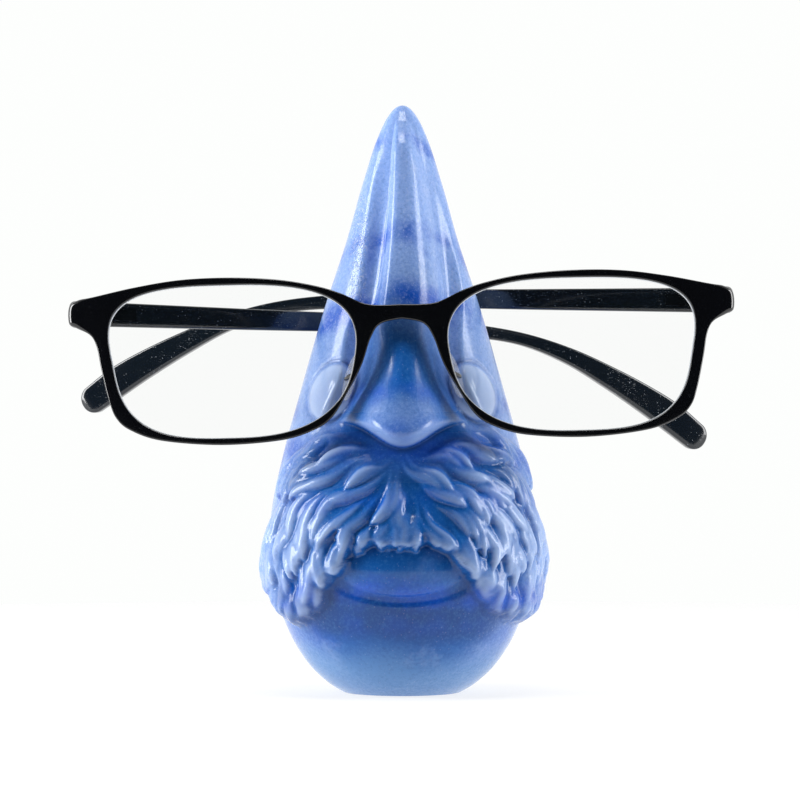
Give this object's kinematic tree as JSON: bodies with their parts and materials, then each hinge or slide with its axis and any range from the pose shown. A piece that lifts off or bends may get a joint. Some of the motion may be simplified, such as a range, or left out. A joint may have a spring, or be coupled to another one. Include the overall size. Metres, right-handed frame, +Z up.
{
  "type": "eyeglasses display stand",
  "caption": "Carved polished blue stone spectacle stand, a bearded face under a tall pointed cone, holding folded black spectacles on its nose.",
  "frame": {"origin": "centre of the stone's flat base", "axes": "+Z up, the carved face looks along -Y, +X is the wearer's left"},
  "size_m": [0.1425, 0.0786, 0.1255],
  "materials": {
    "blue_stone": "polished",
    "black_plastic": "gloss",
    "lens_glass": "polished",
    "clear_silicone": "satin",
    "hinge_steel": "satin",
    "screw_steel": "polished"
  },
  "bodies": {
    "stand": {"stone_head": "blue_stone"},
    "glasses_front": {"front_frame": "black_plastic", "right_lens": "lens_glass", "left_lens": "lens_glass", "right_nose_pad": "clear_silicone", "left_nose_pad": "clear_silicone", "right_front_hinge_leaf": "hinge_steel", "left_front_hinge_leaf": "hinge_steel", "right_hinge_screw": "screw_steel", "left_hinge_screw": "screw_steel"},
    "right_temple": {"right_arm": "black_plastic", "right_arm_hinge_leaf": "hinge_steel"},
    "left_temple": {"left_arm": "black_plastic", "left_arm_hinge_leaf": "hinge_steel"}
  },
  "joints": [
    {"name": "glasses_lift", "type": "slide", "parent": "stand", "child": "glasses_front", "axis": [0, 0, 1], "range_m": [0, 0.09]},
    {"name": "left_arm_fold", "type": "hinge", "parent": "glasses_front", "child": "left_temple", "pos_m": [0.06514, -0.0102, 0.08358], "axis": [-0.014, 0, -0.9999], "range_deg": [0, 75]},
    {"name": "right_arm_fold", "type": "hinge", "parent": "glasses_front", "child": "right_temple", "pos_m": [-0.06563, -0.0102, 0.08061], "axis": [0.0262, 0, 0.9997], "range_deg": [0, 63.1]}
  ],
  "couplings": [
    {"joint": "right_arm_fold", "follows": "left_arm_fold", "ratio": 0.84}
  ]
}
